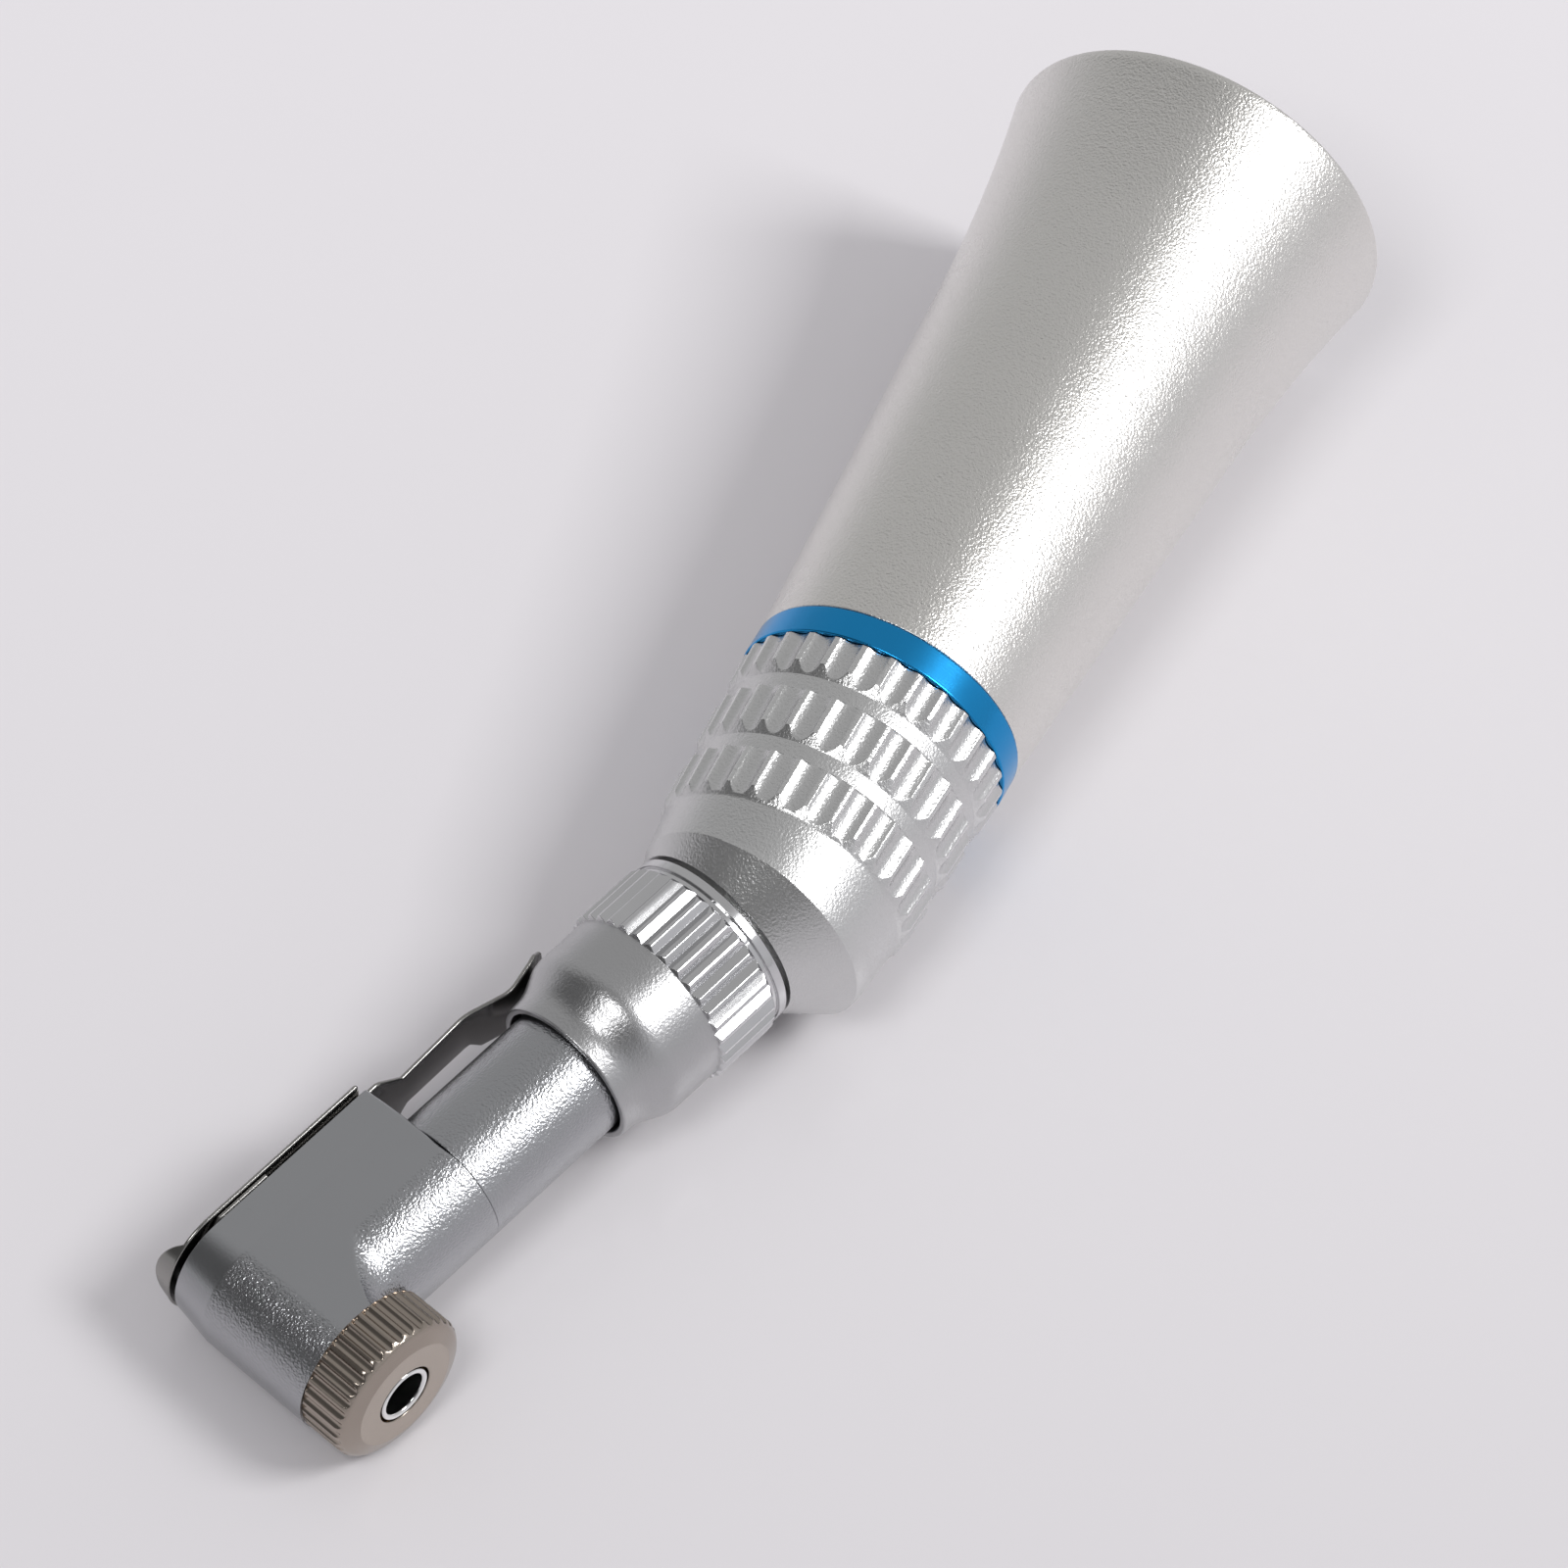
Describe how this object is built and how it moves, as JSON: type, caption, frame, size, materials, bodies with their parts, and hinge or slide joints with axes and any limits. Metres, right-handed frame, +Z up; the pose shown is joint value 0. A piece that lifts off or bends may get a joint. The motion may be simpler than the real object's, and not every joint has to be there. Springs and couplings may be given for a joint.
{
  "type": "dental contra-angle handpiece",
  "caption": "Latch-type contra-angle handpiece for a slow dental motor: flared sleeve, fluted grip with a blue band, lock collar, neck and small latch head with screw cap.",
  "frame": {"origin": "middle of the floor box under the handpiece as it lies on its side on a table", "axes": "+Z up from the table; +X level, along the rear body towards the motor end; +Y the side of the bur latch, away from the bur"},
  "size_m": [0.0864, 0.0272, 0.0214],
  "materials": {
    "sleeve_satin": "fine bead-blasted satin",
    "grip_satin": "satin, with brighter machined crests",
    "blue_anodised": "glossy blue anodised",
    "steel_satin": "fine blasted satin",
    "steel_collar": "bright, satin on the nose",
    "cap_bronze": "polished, bronze tint",
    "steel_bright": "polished",
    "steel_sheet": "smooth",
    "steel_dark": "turned, a little dark",
    "gear_steel": "ground",
    "bearing_steel": "ground",
    "bush_bronze": "sintered bronze",
    "seal_rubber": "smooth"
  },
  "bodies": {
    "sheath": {"rear_sleeve": "sleeve_satin", "blue_band": "blue_anodised", "grip_body": "grip_satin", "motor_socket": "steel_dark", "socket_lock_nut": "steel_dark", "socket_snap_ring": "steel_bright", "rear_bearing_outer_rings": "bearing_steel", "rear_bearing_balls": "bearing_steel", "bearing_spacer": "steel_dark", "bearing_lock_ring": "steel_dark", "front_bearing_outer_rings": "bearing_steel", "front_bearing_balls": "bearing_steel", "collar_snap_ring": "steel_bright", "neck_collet": "steel_dark", "neck_tube": "steel_satin", "neck_seal": "seal_rubber", "index_key": "gear_steel", "neck_rear_bush": "bush_bronze", "neck_front_bush": "bush_bronze", "head_housing": "steel_satin", "upper_bush": "bush_bronze", "lower_bush": "bush_bronze", "end_cap": "cap_bronze", "latch_cover": "steel_sheet", "latch_pivot_screw": "steel_bright", "cover_screw": "steel_bright"},
    "rear_drive": {"rear_shaft": "gear_steel", "rear_bend_gear": "gear_steel", "rear_bearing_inner_rings": "bearing_steel"},
    "front_drive": {"front_bend_gear": "gear_steel", "front_shaft": "gear_steel", "front_bearing_inner_rings": "bearing_steel", "neck_shaft": "gear_steel", "neck_pinion": "gear_steel"},
    "bur_spindle": {"bur_tube": "steel_bright", "bur_gear": "gear_steel"},
    "collar": {"lock_collar": "steel_collar"},
    "latch": {"latch_lever": "steel_sheet"}
  },
  "joints": [
    {"name": "rear_shaft_spin", "type": "hinge", "parent": "sheath", "child": "rear_drive", "pos_m": [0.00244, -0.00289, 0.0076], "axis": [-0.9969, 0, -0.0783], "continuous": true},
    {"name": "front_shaft_spin", "type": "hinge", "parent": "sheath", "child": "front_drive", "pos_m": [-0.01319, -0.00069, 0.00623], "axis": [-0.9569, 0.275, -0.0936], "continuous": true},
    {"name": "bur_spin", "type": "hinge", "parent": "sheath", "child": "bur_spindle", "pos_m": [-0.03769, 0.00635, 0.00383], "axis": [-0.2798, -0.9591, 0.0424], "continuous": true},
    {"name": "collar_turn", "type": "hinge", "parent": "sheath", "child": "collar", "pos_m": [-0.01511, -0.00014, 0.00604], "axis": [-0.9569, 0.275, -0.0936], "range_deg": [0, 45]},
    {"name": "latch_swing", "type": "hinge", "parent": "sheath", "child": "latch", "pos_m": [-0.03129, 0.0098, 0.0041], "axis": [-0.2798, -0.9591, 0.0424], "range_deg": [0, 18]}
  ],
  "couplings": [
    {"joint": "front_shaft_spin", "follows": "rear_shaft_spin", "ratio": 1},
    {"joint": "bur_spin", "follows": "rear_shaft_spin", "ratio": 1}
  ]
}
